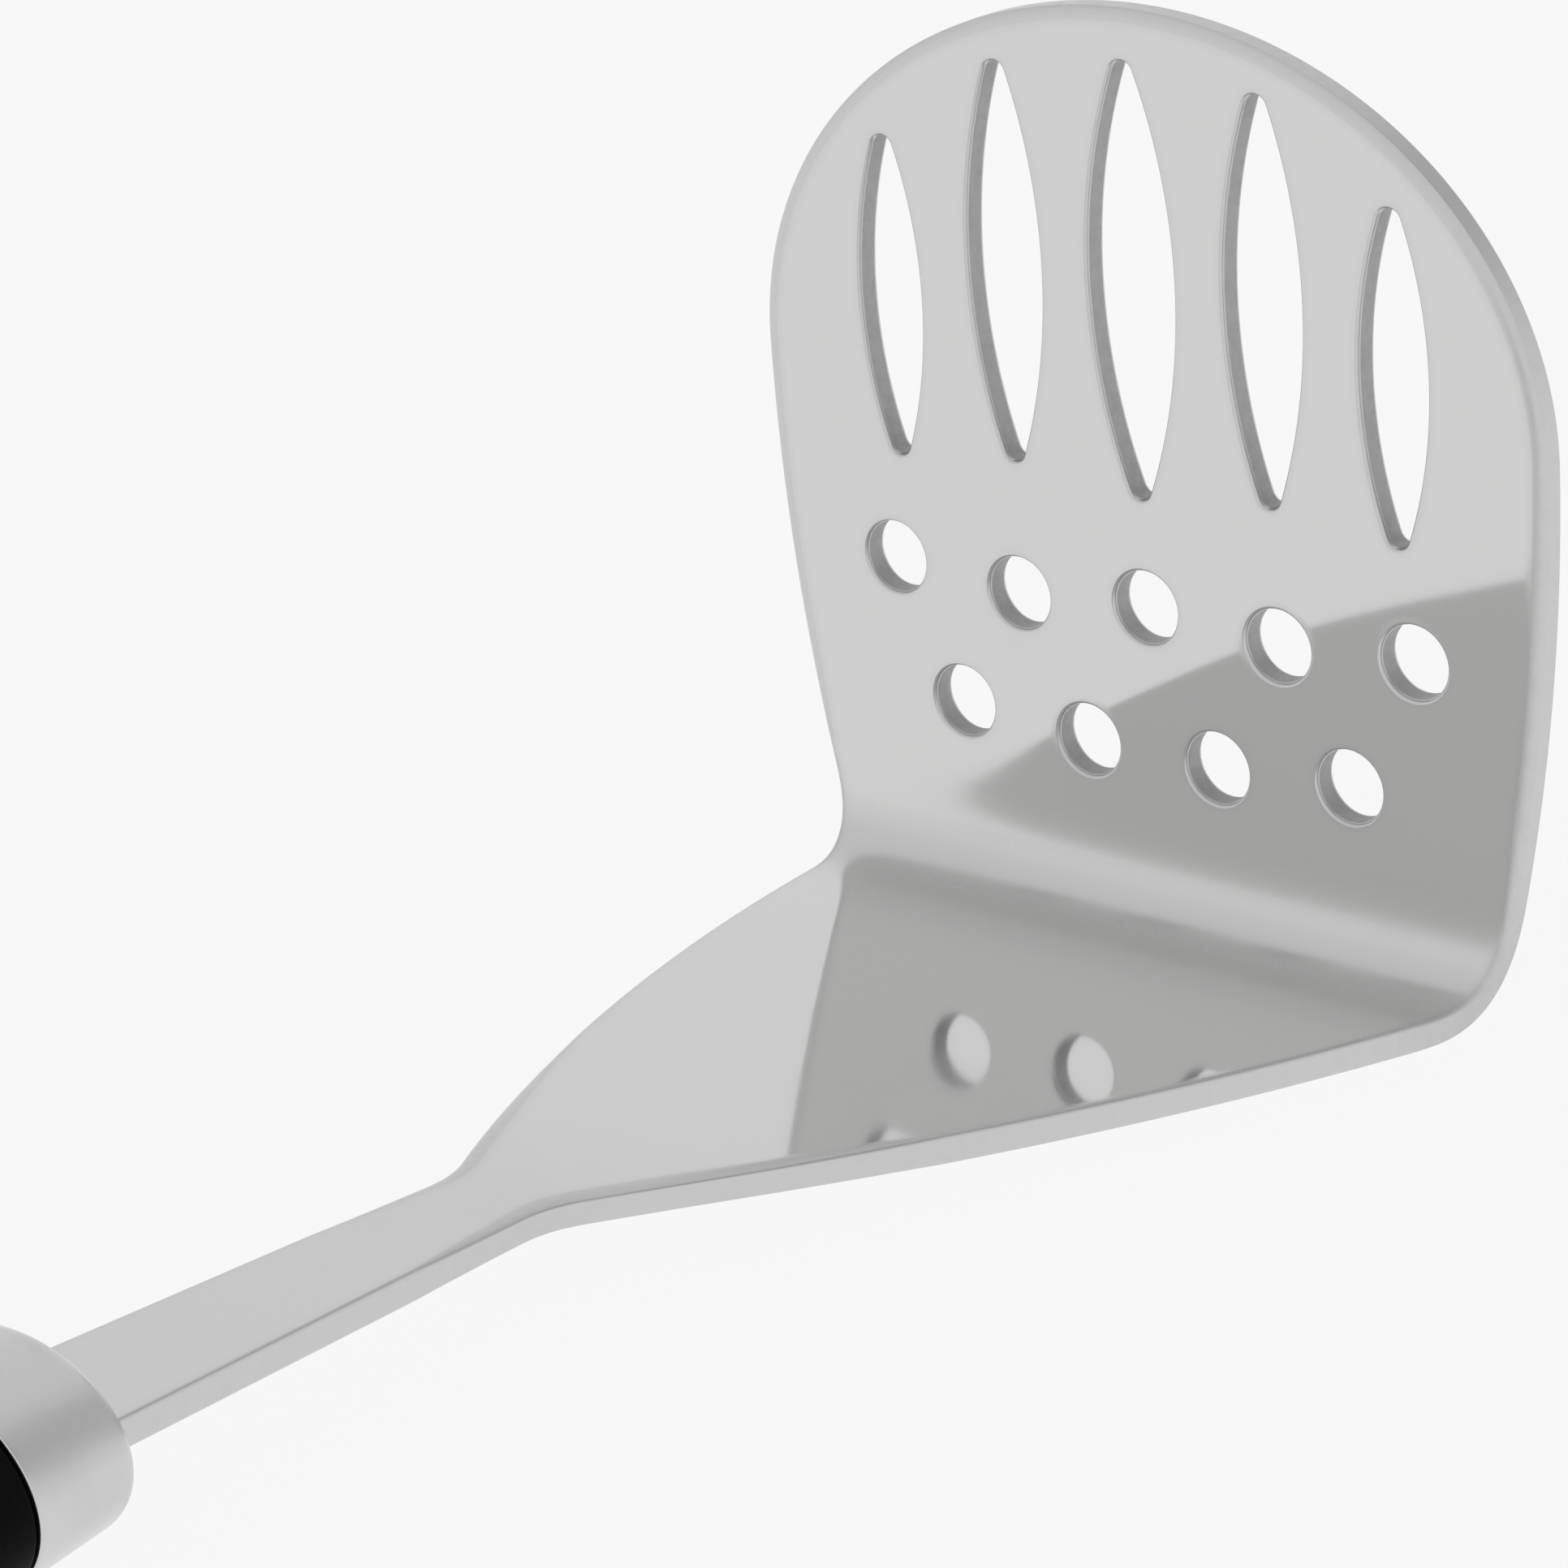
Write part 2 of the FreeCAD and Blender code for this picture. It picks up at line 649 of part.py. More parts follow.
def lie_flat(blade, grip):
    """The turn that brings the outside of the bend and the underside of the grip to one level."""
    def turn(angle):
        return FreeCAD.Placement(V(0, 0, 0), FreeCAD.Rotation(V(0, 1, 0), angle))
    def step(angle):
        low_grip = placed(grip, turn(angle)).optimalBoundingBox(False).ZMin
        a = math.radians(angle)
        bend = BEND_CENTRE[1] * math.cos(a) - BEND_CENTRE[0] * math.sin(a) - BEND_OUT
        return low_grip - bend
    low, high = 0.0, STEEPEST_LIE
    for _ in range(LEVELLING_STEPS):
        middle = (low + high) / 2
        if step(middle) < 0:
            low = middle
        else:
            high = middle
    flat = turn((low + high) / 2)
    whole = Part.makeCompound([placed(blade, flat), placed(grip, flat)])
    return flat, whole


blade = make_blade()
handle = [make_ferrule(), make_core(), make_sleeve(), make_cap(), make_pins()]
on_strap = handle_frame()
skins = Part.makeCompound([placed(h.Shape, on_strap) for h in handle])
flat, whole = lie_flat(blade.Shape, skins)
extent = whole.optimalBoundingBox(False)
down = FreeCAD.Placement(V(-(extent.XMin + extent.XMax) / 2, 0, -extent.ZMin), FreeCAD.Rotation())
rest = down.multiply(flat)
blade.Placement = rest
for piece in handle:
    piece.Placement = rest.multiply(on_strap)
doc.recompute()

for obj in doc.Objects:
    if "Invalid" in obj.State or "Error" in obj.State:
        raise RuntimeError("%s failed: %s" % (obj.Name, obj.State))

os.makedirs("parts", exist_ok=True)
for piece in [blade] + handle:
    shape = piece.Shape
    if shape.isNull() or not shape.isValid():
        raise RuntimeError("%s has no valid shape" % piece.Label)
    shape.exportStep("parts/%s.step" % piece.Label)
    b = shape.optimalBoundingBox(False)
    print("%-14s %8.1f mm3  x %.2f %.2f  y %.2f %.2f  z %.2f %.2f" % (
        piece.Label, shape.Volume, b.XMin, b.XMax, b.YMin, b.YMax, b.ZMin, b.ZMax))
eye = rest.multiply(on_strap).multVec(V(-CAP_END + size("eye_setback"), 0, 0))
print("lies back %.4f degrees, then moves %.4f along X and %.4f up; eye at %.3f %.3f %.3f" % (
    math.degrees(flat.Rotation.Angle), down.Base.x, down.Base.z, eye.x, eye.y, eye.z))
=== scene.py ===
# %% [markdown]
# # A hand masher, piece by piece
#
# This tool mashes boiled potatoes. One steel plate is stamped out with slots and holes, bent up
# from its own neck, and held in a black handle. The notebook dresses the measured model of the
# tool: each cell makes one piece or one finish, and says why it is made that way.
#
# The first cell loads the measured model. It is the frame that everything has to fit.

# %% Load the measured model
import json
import math

import bpy
import numpy as np
from mathutils import Matrix, Vector
from mathutils.geometry import delaunay_2d_cdt


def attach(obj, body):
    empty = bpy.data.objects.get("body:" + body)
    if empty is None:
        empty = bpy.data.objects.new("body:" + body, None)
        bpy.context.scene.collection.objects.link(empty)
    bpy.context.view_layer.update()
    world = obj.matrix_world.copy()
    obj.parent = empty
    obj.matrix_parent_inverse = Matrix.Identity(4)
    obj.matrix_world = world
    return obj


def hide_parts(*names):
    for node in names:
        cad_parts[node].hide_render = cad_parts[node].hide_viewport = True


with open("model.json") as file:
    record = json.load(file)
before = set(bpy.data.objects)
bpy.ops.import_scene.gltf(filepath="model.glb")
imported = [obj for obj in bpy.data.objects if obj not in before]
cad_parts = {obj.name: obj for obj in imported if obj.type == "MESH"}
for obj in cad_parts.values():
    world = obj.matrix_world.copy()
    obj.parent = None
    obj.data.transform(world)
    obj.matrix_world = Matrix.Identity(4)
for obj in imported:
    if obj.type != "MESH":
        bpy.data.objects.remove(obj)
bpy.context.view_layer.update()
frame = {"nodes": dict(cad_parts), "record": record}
MM = 0.001

# %% [markdown]
# ## Where the blade lies
#
# The masher lies on its back: it touches the table along the outside of its bend and under its
# handle. The record states the flat back of the head, with its place and direction. Those two
# facts are enough to stand the bent sheet up again. The side view is a flat drawing, so a point
# in it is kept as one complex number, x + z i: turning it is then a multiplication.

# %% Read the lie of the blade from the record
MOUNTS = {m["name"]: m for m in frame["record"]["mounts"]}
SHEET = 2.8 * MM                 # thickness of the stamping
BEND_INSIDE = 7.0 * MM           # inside radius of the bend
BEND_OUTSIDE = BEND_INSIDE + SHEET
HEAD_ANGLE = math.radians(83.6)  # between neck and head plate
BEND_TURN = math.pi - HEAD_ANGLE
BEND_REACH = BEND_INSIDE / math.tan(HEAD_ANGLE / 2)  # from the corner to a true arc's ends


def flat(v):
    """A 3-D vector's side view as one complex number."""
    return complex(v[0], v[2])


BEHIND = flat(MOUNTS["press_face"]["axis"])          # out of the back of the head
UNDER = BEHIND * complex(math.cos(BEND_TURN), -math.sin(BEND_TURN))  # out of the neck's underside
TO_HANDLE = UNDER * -1j
face = flat(MOUNTS["press_face"]["pos_m"])
reach = (face * BEHIND.conjugate()).real - BEND_OUTSIDE - BEND_OUTSIDE * BEHIND.imag
BEND_CENTRE = complex(reach / BEHIND.real, BEND_OUTSIDE)
print("bend centre, mm", BEND_CENTRE / MM, "neck direction", TO_HANDLE)

# %% [markdown]
# ## The sheet as a path
#
# A stamping starts as a flat blank. Every point of the blank has a distance along it, t, counted
# from where the bend meets the neck: more than 0 towards the handle, less than 0 round the bend
# and up the head. This cell turns t into a place in the side view and the direction square to the
# sheet. A press doesn't leave a true arc: the sheet starts to curve before the tool's radius, so
# the bend is eased at both ends. The strap drops a little before the handle, over a long curve.

# %% Path of the sheet's inner face
EASE = 0.8                       # 0 is a true arc; 1 lets the curve fade to nothing at its ends
BEND_ARC = 15.4 * MM             # length of the bend along the inner face
BEND_PARTS = 600


def turned(direction, angle):
    return direction * complex(math.cos(angle), math.sin(angle))


def bend_angle(share):
    """How far the sheet has turned after a share of the bend, from the neck."""
    return BEND_TURN * (share - EASE * math.sin(math.tau * share) / math.tau)


def bend_run():
    """Points of the bend from the neck to the head, with the first one at 0."""
    step, at, points = BEND_ARC / BEND_PARTS, 0j, [0j]
    for i in range(BEND_PARTS):
        at += turned(UNDER, bend_angle((i + 0.5) / BEND_PARTS)) * 1j * step
        points.append(at)
    return points


BEND_RUN = bend_run()
HEADING = BEHIND * 1j            # up the head
# the two flats meet at the bend's corner, and each loses the same length to the bend
EASED_REACH = (BEND_RUN[-1] * BEHIND.conjugate()).real / (-TO_HANDLE * BEHIND.conjugate()).real
CORNER = BEND_CENTRE + UNDER * BEND_INSIDE - TO_HANDLE * BEND_REACH
CRANK_TURN = math.radians(2.6)
CRANK_LENGTH = 22 * MM
CRANK_START = 88 * MM - EASED_REACH - CRANK_LENGTH / 2
CRANK_RADIUS = CRANK_LENGTH / CRANK_TURN


def sheet_at(t):
    """The inner face's point, the direction of growing t, and the direction out of the back."""
    root = CORNER + TO_HANDLE * EASED_REACH
    if t <= -BEND_ARC:
        return root + BEND_RUN[-1] + HEADING * (-BEND_ARC - t), -HEADING, BEHIND
    if t <= 0:
        share = -t / BEND_ARC
        place = share * BEND_PARTS
        i = min(int(place), BEND_PARTS - 1)
        out = turned(UNDER, bend_angle(share))
        return root + BEND_RUN[i] + (BEND_RUN[i + 1] - BEND_RUN[i]) * (place - i), out * -1j, out
    if t <= CRANK_START:
        return root + TO_HANDLE * t, TO_HANDLE, UNDER
    turn = min((t - CRANK_START) / CRANK_RADIUS, CRANK_TURN)
    out = turned(UNDER, turn)
    hub = root + TO_HANDLE * CRANK_START + UNDER * CRANK_RADIUS
    rest = max(0.0, t - CRANK_START - CRANK_LENGTH)
    return hub - out * CRANK_RADIUS + out * -1j * rest, out * -1j, out


print("bend's middle from its corner, mm", abs(sheet_at(-BEND_ARC / 2)[0] - CORNER) / MM)
print("strap leaves the crank at, mm", sheet_at(CRANK_START + CRANK_LENGTH)[0] / MM)

# %% [markdown]
# ## The blank's outline
#
# The outline is drawn flat, as (t, half width): an ellipse over the top of the head, long arcs
# down its sides and along the neck, a fillet, and a strap that widens a little towards the
# handle. Short helpers place points along an arc through three points, so that each curve is
# stated by the few sizes that a toolmaker would write on the drawing.

# %% Helpers for flat curves
def arc_points(a, b, c, step):
    """Points about step apart on the circle through a, b and c, from a to c."""
    (ax, ay), (bx, by), (cx, cy) = a, b, c
    d = 2 * (ax * (by - cy) + bx * (cy - ay) + cx * (ay - by))
    sa, sb, sc = ax * ax + ay * ay, bx * bx + by * by, cx * cx + cy * cy
    ox = (sa * (by - cy) + sb * (cy - ay) + sc * (ay - by)) / d
    oy = (sa * (cx - bx) + sb * (ax - cx) + sc * (bx - ax)) / d
    radius = math.hypot(ax - ox, ay - oy)
    start = math.atan2(ay - oy, ax - ox)
    turn = math.atan2(cy - oy, cx - ox) - start
    turn = (turn + math.pi) % math.tau - math.pi
    count = max(2, round(abs(turn) * radius / step))
    return [(ox + radius * math.cos(start + turn * i / count),
             oy + radius * math.sin(start + turn * i / count)) for i in range(count + 1)]


def line_points(a, b, step):
    count = max(1, round(math.dist(a, b) / step))
    return [(a[0] + (b[0] - a[0]) * i / count, a[1] + (b[1] - a[1]) * i / count)
            for i in range(count + 1)]


def tangent_middle(start, direction, end):
    """The middle of the arc that leaves start along a unit direction and arrives at end."""
    cx, cy = end[0] - start[0], end[1] - start[1]
    radius = (cx * cx + cy * cy) / (2 * (direction[0] * cy - direction[1] * cx))
    hub = (start[0] - direction[1] * radius, start[1] + direction[0] * radius)
    mx, my = (start[0] + end[0]) / 2 - hub[0], (start[1] + end[1]) / 2 - hub[1]
    scale = abs(radius) / math.hypot(mx, my)
    return hub[0] + mx * scale, hub[1] + my * scale


def chained(*runs):
    """Runs of points joined end to end, with each shared end kept once."""
    points = list(runs[0])
    for run in runs[1:]:
        points += run[1:]
    return points


# %% Half of the blank's outline, from the top of the head to the end of the tang
EDGE_STEP = 0.6 * MM
BEND_ROWS = 40
HEAD_HALF, HEAD_WIDE_AT, HEAD_CROWN = 44.4 * MM, 51.75 * MM, 37.4 * MM
FOOT_HALF, ROOT_HALF = 39.7 * MM, 36.3 * MM
WAIST = (50 * MM, 24.6 * MM)
STRAP_HALF, STRAP_END_HALF = 5.5 * MM, 7.3 * MM
NECK_END, FERRULE_START, TANG_LENGTH = 93 * MM, 146.1 * MM, 60 * MM
NECK_FILLET, TANG_ROUND = 12 * MM, 3 * MM
QUARTER = [math.pi / 2 * i / 8 for i in range(9)]     # a quarter turn, for small roundings


def up_head(height):
    """The t of a height up the head plate, counted from the corner of the bend."""
    return -BEND_ARC - (height - EASED_REACH)


def crown_points():
    count = round(math.pi / 2 * HEAD_HALF / EDGE_STEP)
    angles = [math.pi / 2 * (1 - i / count) for i in range(count + 1)]
    return [(up_head(HEAD_WIDE_AT + HEAD_CROWN * math.sin(a)), HEAD_HALF * math.cos(a))
            for a in angles]


def bend_points(start, end, slope_in, slope_out):
    """The half width round the bend, leaving and arriving in line with its neighbours."""
    points, span = [], end[0] - start[0]
    for i in range(BEND_ROWS + 1):
        s = i / BEND_ROWS
        h00, h10 = 2 * s ** 3 - 3 * s ** 2 + 1, s ** 3 - 2 * s ** 2 + s
        h01, h11 = 3 * s ** 2 - 2 * s ** 3, s ** 3 - s ** 2
        points.append((start[0] + span * s, h00 * start[1] + h10 * span * slope_in
                       + h01 * end[1] + h11 * span * slope_out))
    return points


def slope(p, q):
    return (q[1] - p[1]) / (q[0] - p[0])


def fillet_points(arriving, entry):
    """Rounds the corner where the neck's curved side meets the strap."""
    corner = arriving[-1]
    back = np.subtract(arriving[-2], corner)
    ahead = np.subtract(entry, corner)
    back, ahead = back / np.hypot(*back), ahead / np.hypot(*ahead)
    half = math.acos(float(back @ ahead)) / 2
    away = back + ahead
    middle = corner + away / np.hypot(*away) * (NECK_FILLET / math.sin(half) - NECK_FILLET)
    reach = NECK_FILLET / math.tan(half)
    kept = [p for p in arriving if math.dist(p, corner) > reach]
    return kept, arc_points(kept[-1], tuple(middle), tuple(corner + ahead * reach), EDGE_STEP)


wide = (up_head(HEAD_WIDE_AT), HEAD_HALF)
foot = (up_head(BEND_REACH), FOOT_HALF)
flank = arc_points(wide, tangent_middle(wide, (1, 0), foot), foot, EDGE_STEP)
flank = [p for p in flank if p[0] < -BEND_ARC]
side = arc_points((BEND_REACH - EASED_REACH, ROOT_HALF), (WAIST[0] - EASED_REACH, WAIST[1]),
                  (NECK_END - EASED_REACH, STRAP_HALF), EDGE_STEP)
side = [p for p in side if p[0] > 0]
ENTRY = (FERRULE_START - EASED_REACH, STRAP_END_HALF)
TANG_END = (ENTRY[0] + TANG_LENGTH, STRAP_END_HALF)
side_kept, fillet = fillet_points(side, ENTRY)
tang_hub = (TANG_END[0] - TANG_ROUND, STRAP_END_HALF - TANG_ROUND)
tang_corner = [(tang_hub[0] + TANG_ROUND * math.sin(a), tang_hub[1] + TANG_ROUND * math.cos(a))
               for a in QUARTER]
bend = bend_points(flank[-1], side[0], slope(*flank[-2:]), slope(*side[:2]))
HALF_OUTLINE = chained(crown_points(), flank, bend, side_kept, fillet,
                       line_points(fillet[-1], ENTRY, EDGE_STEP),
                       line_points(ENTRY, (TANG_END[0] - TANG_ROUND, STRAP_END_HALF), EDGE_STEP),
                       tang_corner,
                       line_points(tang_corner[-1], (TANG_END[0], 0), EDGE_STEP))
OUTLINE = HALF_OUTLINE + [(t, -y) for t, y in reversed(HALF_OUTLINE[1:-1])]
print(len(OUTLINE), "points round the blank")

# %% [markdown]
# ## Slots and holes
#
# The five slots are leaves: two long arcs that meet in small round tips. The holes stand in two
# rows, and every other one sits a little lower. Two more holes, near the end of the tang, take
# the pins inside the handle.

# %% Openings of the blank
TIP = 1.2 * MM                   # radius of a slot's tips
SLOT_PITCH, OUTER_GAP = 14.65 * MM, 13.95 * MM
SLOTS = [(0, 63.35, 9.75, 41.85)]         # across, height, width, length, all in mm
for hand in (-1, 1):
    SLOTS.append((hand * SLOT_PITCH / MM, 63.35, 8.6, 38.8))
    SLOTS.append((hand * (SLOT_PITCH + OUTER_GAP) / MM, 58.25, 7.35, 31.6))
HOLE_RADIUS, HOLE_PITCH, ROW_STAGGER = 3.6 * MM, 15 * MM, 1.15 * MM
HOLE_POINTS, PIN_HOLE_POINTS = 72, 32     # points round one hole
UPPER_ROW, LOWER_ROW = 31.75 * MM, 18.15 * MM
PIN_HOLE = 1.55 * MM
PIN_STATIONS = [18 * MM, 44 * MM]         # from the ferrule's start


def leaf(across, height, width, length):
    """A slot's outline as (t, y) points."""
    half_w, run = width / 2, length / 2 - TIP
    big = (run * run + half_w * half_w - TIP * TIP) / (2 * (half_w - TIP))
    offset = big - half_w
    reach = math.hypot(offset, run)
    ty, tz = TIP * offset / reach, TIP * run / reach
    right = arc_points((ty, -run - tz), (half_w, 0), (ty, run + tz), EDGE_STEP)
    top = arc_points((ty, run + tz), (0, length / 2), (-ty, run + tz), EDGE_STEP / 3)
    half = chained(right, top)
    loop = half[:-1] + [(-y, -z) for y, z in half[:-1]]
    return [(up_head(height + z), across + y) for y, z in loop]


def ring(t, y, radius, count):
    return [(t + radius * math.cos(math.tau * i / count),
             y + radius * math.sin(math.tau * i / count)) for i in range(count)]


OPENINGS = [leaf(*[v * MM for v in slot]) for slot in SLOTS]
for column in (-2, -1, 0, 1, 2):
    height = UPPER_ROW - (column % 2) * ROW_STAGGER
    OPENINGS.append(ring(up_head(height), column * HOLE_PITCH, HOLE_RADIUS, HOLE_POINTS))
for column in (-1.5, -0.5, 0.5, 1.5):
    height = LOWER_ROW - (abs(column) < 1) * ROW_STAGGER
    OPENINGS.append(ring(up_head(height), column * HOLE_PITCH, HOLE_RADIUS, HOLE_POINTS))
for station in PIN_STATIONS:
    OPENINGS.append(ring(ENTRY[0] + station, 0, PIN_HOLE, PIN_HOLE_POINTS))
print(len(OPENINGS), "openings")

# %% [markdown]
# ## From blank to polished sheet
#
# A stamped edge is never square after polishing: the wheel rounds it, and it reaches further in
# over the face than down the edge, so the rounding is a quarter of an oval. Each outline becomes
# a stack of rings: one a little way in on the face, the oval's rings, the straight wall, and the
# same again below. One triangulation of the flat blank, between the rims and a grid of points
# inside, serves both faces. Then every point is wrapped along the path. Each also gets its exact
# normal, because a mirror finish would show the smallest error in a guessed one. The head's
# normals are the exception. They lean by up to 1.6 degrees, as on a slightly twisted plate, while
# the mesh itself stays flat. The lean was chosen by trial, to put the reflections in their place.

# %% Rings round one outline
EDGE_DEPTH = 0.5 * MM            # how far the rounding reaches down the edge
ROUND_STEPS = 7                  # rings in each rounding
EDGE_BAND = 0.7 * MM             # flat strip between the rounding and the triangulated face
EDGE_WEAR_AND_SHADE = 0.4                  # rim mark (wear and painted shade) at the rounding's edge; on the rounding it is 1
OPENING_REACH = 0.35 * MM        # how far the rounding reaches in over the face, at an opening
# the same along the outline: the wheel dishes the head's rim and the neck's fillet most
RIM_REACH = [(-1, 1.5 * MM), (-BEND_ARC - 8 * MM, 1.5 * MM), (-BEND_ARC, 0.9 * MM), (0, 0.5 * MM),
             (50 * MM, 0.5 * MM), (72 * MM, 1.9 * MM), (84 * MM, 1.9 * MM), (100 * MM, 0.4 * MM),
             (1, 0.4 * MM)]


def outward_normals(loop, opening):
    """Unit vectors in the blank's plane, out of the metal, at each point of a closed loop."""
    p = np.array(loop)
    ahead, behind = np.roll(p, -1, 0) - p, p - np.roll(p, 1, 0)
    along = ahead / np.linalg.norm(ahead, axis=1)[:, None]
    along += behind / np.linalg.norm(behind, axis=1)[:, None]
    along /= np.linalg.norm(along, axis=1)[:, None]
    normal = np.stack([along[:, 1], -along[:, 0]], 1)
    area = np.sum(p[:, 0] * np.roll(p[:, 1], -1) - np.roll(p[:, 0], -1) * p[:, 1])
    return normal * (1 if area > 0 else -1) * (-1 if opening else 1)


def edge_profile():
    """Rings from the front face to the back: (share of reach, inset, depth, angle, rim, wall).

    The angle turns from the front's normal (0) through straight out (90) to the back's (180).
    """
    rings = [(1, EDGE_BAND, 0, 0, 0, 0)]
    for i in range(ROUND_STEPS + 1):
        a = math.pi / 2 * i / ROUND_STEPS
        rings.append((1 - math.sin(a), 0, EDGE_DEPTH * (1 - math.cos(a)), a,
                      1 if i else EDGE_WEAR_AND_SHADE, i == ROUND_STEPS))
    for i in range(ROUND_STEPS + 1):
        a = math.pi / 2 * (1 + i / ROUND_STEPS)
        rings.append((1 - math.sin(a), 0, SHEET - EDGE_DEPTH * (1 + math.cos(a)), a,
                      1 if i < ROUND_STEPS else EDGE_WEAR_AND_SHADE, i == 0))
    rings.append((1, EDGE_BAND, SHEET, math.pi, 0, 0))
    return rings


def rounded_normal(angle, reach):
    """The normal of an oval rounding, as (share straight out, share to the back)."""
    out, back = EDGE_DEPTH * math.sin(angle), -reach * math.cos(angle)
    size = math.hypot(out, back)
    return out / size, back / size


# %% The inside of the faces
GRID = 3.5 * MM                  # pitch of the points inside a face
CLEAR = 0.6 * MM                 # least distance from such a point to a rim
CRANK_ROWS = 12
SAME_POINT = 1e-7                # the triangulation takes two points this close as one


def inside(points, loop):
    """Which points lie inside a closed loop, by counting crossings."""
    p, q = np.array(loop), np.roll(np.array(loop), -1, 0)
    hit = np.zeros(len(points), bool)
    for (x0, y0), (x1, y1) in zip(p, q):
        crosses = (y0 > points[:, 1]) != (y1 > points[:, 1])
        with np.errstate(divide="ignore", invalid="ignore"):
            where = (x1 - x0) * (points[:, 1] - y0) / (y1 - y0) + x0
        hit ^= crosses & (points[:, 0] < where)
    return hit


def inner_points(rims):
    """Grid points on the flats, and rows across the curved stretches, clear of every rim."""
    low, high = min(t for t, _ in OUTLINE), TANG_END[0]
    crank_end = CRANK_START + CRANK_LENGTH
    rows = np.concatenate([np.arange(low, -BEND_ARC, GRID),
                           np.linspace(-BEND_ARC, 0, BEND_ROWS + 1),
                           np.arange(GRID, CRANK_START, GRID),
                           np.linspace(CRANK_START, crank_end, CRANK_ROWS),
                           np.arange(crank_end + GRID, high, GRID)])
    half_count = math.ceil(HEAD_HALF / GRID)
    columns = np.arange(-half_count, half_count + 1) * GRID
    points = np.array([(t, y) for t in rows for y in columns])
    keep = inside(points, rims[0]) & ~np.any([inside(points, r) for r in rims[1:]], axis=0)
    rim_points = np.concatenate([np.array(r) for r in rims])
    gap = np.min(np.hypot(points[:, None, 0] - rim_points[None, :, 0],
                          points[:, None, 1] - rim_points[None, :, 1]), axis=1)
    return points[keep & (gap > CLEAR)]


# %% Wrap the blank into the blade
BEND_MARK = 0.62                 # how far the bend's finish spreads, as a share of its length
TWIST, TWIST_HUB, TWIST_SPREAD, TWIST_FADE = 0.028, -28 * MM, 30 * MM, 6 * MM


def bent(t):
    """1 in the middle of the bend, fading out a little way along both flats."""
    return math.exp(-((t / BEND_ARC + 0.5) / BEND_MARK) ** 2)


def twist(t, y):
    """How far the head's normals lean, as a slope. The points themselves aren't moved."""
    fade = min(max((-BEND_ARC - t) / TWIST_FADE, 0.0), 1.0)
    return TWIST * fade * math.tanh((y - TWIST_HUB) / TWIST_SPREAD)


def wrapped(t, y, depth, out_t, out_y, back):
    """A blank point and its normal, placed on the bent sheet."""
    point, along, out = sheet_at(t)
    place = point + out * depth
    normal = along * (out_t - back * twist(t, y)) + out * back
    return (place.real, y, place.imag), (normal.real, out_y, normal.imag)


def flat_triangles(rims, grid):
    """The flat blank's face, triangulated between its rims, as numbers into its points."""
    edges, first = [], 0
    for rim in rims:
        edges += [(first + i, first + (i + 1) % len(rim)) for i in range(len(rim))]
        first += len(rim)
    points = [q for rim in rims for q in rim] + [tuple(q) for q in grid]
    _, _, made, source, _, _ = delaunay_2d_cdt([Vector(q) for q in points], edges, [], 0,
                                               SAME_POINT)
    triangles = np.array([[source[v][0] for v in tri] for tri in made])
    centres = np.array(points)[triangles].mean(axis=1)
    keep = inside(centres, rims[0])
    for rim in rims[1:]:
        keep &= ~inside(centres, rim)
    return triangles[keep]


class Stamping:
    """The blade's mesh while it is being made."""

    def __init__(self):
        self.verts, self.normals, self.faces = [], [], []
        self.marks = {"rim": [], "punched": [], "bend": []}

    def add(self, t, y, depth, normal, rim=0, punched=0):
        """Wraps one blank point; its normal is given as shares along t, along y and backwards."""
        point, facing = wrapped(t, y, depth, *normal)
        self.verts.append(point)
        self.normals.append(facing)
        for name, value in zip(self.marks, (rim, punched, bent(t))):
            self.marks[name].append(value)
        return len(self.verts) - 1

    def add_edge(self, loop, opening):
        """Rings round one outline; returns its flat rim, and where front and back rim start."""
        p, n = np.array(loop), outward_normals(loop, opening)
        size, base, profile = len(loop), len(self.verts), edge_profile()
        if opening:
            reach = np.full(size, OPENING_REACH)
        else:
            reach = np.interp(p[:, 0], *zip(*RIM_REACH))
        for share, band, depth, angle, rim, wall in profile:
            inset = (reach * share + band)[:, None]
            for (t, y), (nt, ny), r in zip(p - n * inset, n, reach):
                out, back = rounded_normal(angle, r)
                self.add(t, y, depth, (nt * out, ny * out, back), rim, float(opening and wall))
        for r in range(len(profile) - 1):
            for i in range(size):
                a, b = base + r * size + i, base + r * size + (i + 1) % size
                self.faces.append([a, b, b + size, a + size])
        flat_rim = [tuple(q) for q in p - n * (reach + EDGE_BAND)[:, None]]
        return flat_rim, base, base + (len(profile) - 1) * size

    def add_face(self, triangles, rims, starts, grid, depth, back):
        """One face of the sheet; back is -1 at the front and 1 at the back."""
        index = [start + i for start, rim in zip(starts, rims) for i in range(len(rim))]
        index += [self.add(t, y, depth, (0, 0, back)) for t, y in grid]
        self.faces += [[index[v] for v in tri] for tri in triangles]


def build_blade():
    """The whole stamping: every edge first, then one triangulation used for both faces."""
    stamping = Stamping()
    edges = [stamping.add_edge(OUTLINE, False)]
    edges += [stamping.add_edge(loop, True) for loop in OPENINGS]
    rims, front_starts, back_starts = zip(*edges)
    grid = inner_points(rims)
    triangles = flat_triangles(rims, grid)
    stamping.add_face(triangles, rims, front_starts, grid, 0, -1)
    stamping.add_face(triangles, rims, back_starts, grid, SHEET, 1)
    return stamping


